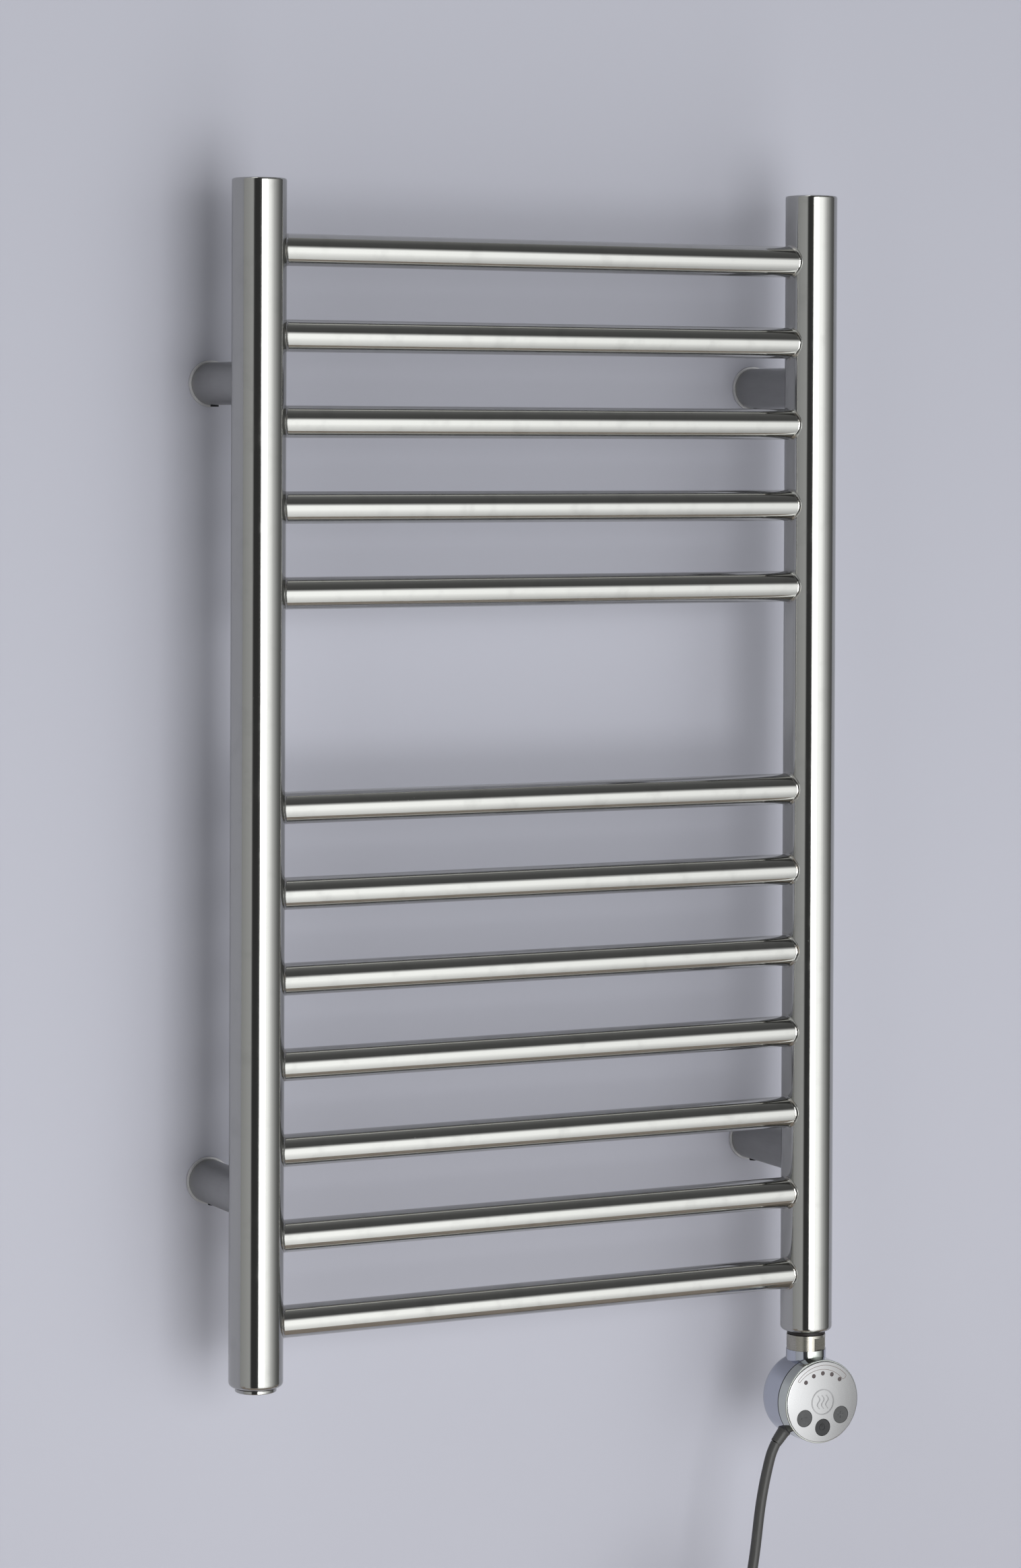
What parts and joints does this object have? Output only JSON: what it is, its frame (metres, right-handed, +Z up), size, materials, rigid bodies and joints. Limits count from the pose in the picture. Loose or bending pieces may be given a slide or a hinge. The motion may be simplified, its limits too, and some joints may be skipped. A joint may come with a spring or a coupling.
{
  "type": "towel warmer rack",
  "caption": "Wall-mounted ladder towel rail in polished steel tube, with an electric heating element, a round control head with push buttons, and a mains lead.",
  "frame": {"origin": "on the wall plane, in the middle of the four wall fixings", "axes": "+X to the right as seen from the room, +Y into the wall, +Z up along the uprights"},
  "size_m": [0.412, 0.0953, 1.029],
  "materials": {
    "polished_steel": "mirror-polished stainless steel",
    "satin_steel": "satin stainless steel",
    "zinc_steel": "plain bright steel",
    "black_steel": "blackened steel",
    "brass": "turned brass",
    "nickel_brass": "satin nickel plate on brass",
    "seal_rubber": "dark sealing rubber",
    "chrome_plastic": "chrome-plated plastic",
    "face_satin": "satin plated face",
    "light_dark": "dark translucent plastic",
    "button_rubber": "matte silicone",
    "button_dark": "matte silicone",
    "board_green": "solder resist",
    "component_plastic": "moulded component cases",
    "cord_sheath": "dark grey flexible sheath",
    "tie_band": "woven hook-and-loop band",
    "plug_plastic": "moulded plug body",
    "pin_nickel": "nickel-plated pins"
  },
  "bodies": {
    "wall_fixings": {"wall_hub_top_left": "satin_steel", "wall_hub_top_right": "satin_steel", "wall_hub_bottom_left": "satin_steel", "wall_hub_bottom_right": "satin_steel"},
    "rack": {"upright_left": "polished_steel", "upright_right": "polished_steel", "top_cap_left": "polished_steel", "top_cap_right": "polished_steel", "socket_left": "polished_steel", "socket_right": "polished_steel", "rail_01": "polished_steel", "rail_02": "polished_steel", "rail_03": "polished_steel", "rail_04": "polished_steel", "rail_05": "polished_steel", "rail_06": "polished_steel", "rail_07": "polished_steel", "rail_08": "polished_steel", "rail_09": "polished_steel", "rail_10": "polished_steel", "rail_11": "polished_steel", "rail_12": "polished_steel", "sleeve_top_left": "satin_steel", "sleeve_top_right": "satin_steel", "sleeve_bottom_left": "satin_steel", "sleeve_bottom_right": "satin_steel", "clamp_screws": "black_steel", "sleeve_bolts": "zinc_steel", "upright_inserts": "brass", "blanking_plug": "polished_steel", "blanking_seal": "seal_rubber", "vent_boss": "polished_steel", "element_fitting": "nickel_brass", "element_seal": "seal_rubber", "heating_rod": "zinc_steel", "probe_tube": "zinc_steel", "rear_housing": "chrome_plastic", "front_cover": "chrome_plastic", "face_disc": "face_satin", "face_emblem": "face_satin", "light_pipes": "light_dark", "button_mat": "button_rubber", "circuit_board": "board_green", "board_parts": "component_plastic", "cover_screws": "zinc_steel", "neck_screw": "black_steel", "cord_relief": "cord_sheath", "cord_clamp": "component_plastic", "cord_lead": "cord_sheath", "cord_coil": "cord_sheath", "cord_tail": "cord_sheath", "cord_tie": "tie_band", "plug_body": "plug_plastic", "plug_pins": "pin_nickel"},
    "vent_key": {"vent_screw": "zinc_steel"},
    "minus_button": {"button_minus": "button_rubber"},
    "power_button": {"button_power": "button_dark"},
    "plus_button": {"button_plus": "button_rubber"}
  },
  "joints": [
    {"name": "standoff_slide", "type": "slide", "parent": "wall_fixings", "child": "rack", "axis": [0, -1, 0], "range_m": [0, 0.008]},
    {"name": "vent_turn", "type": "hinge", "parent": "rack", "child": "vent_key", "pos_m": [-0.185, -0.055, 0.337], "axis": [0, 1, 0], "range_deg": [0, 180]},
    {"name": "minus_press", "type": "slide", "parent": "rack", "child": "minus_button", "axis": [0, 1, 0], "range_m": [0, 0.0008], "stiffness_N_per_m": 900, "springref_m": -0.0005},
    {"name": "power_press", "type": "slide", "parent": "rack", "child": "power_button", "axis": [0, 1, 0], "range_m": [0, 0.0008], "stiffness_N_per_m": 900, "springref_m": -0.0005},
    {"name": "plus_press", "type": "slide", "parent": "rack", "child": "plus_button", "axis": [0, 1, 0], "range_m": [0, 0.0008], "stiffness_N_per_m": 900, "springref_m": -0.0005}
  ]
}
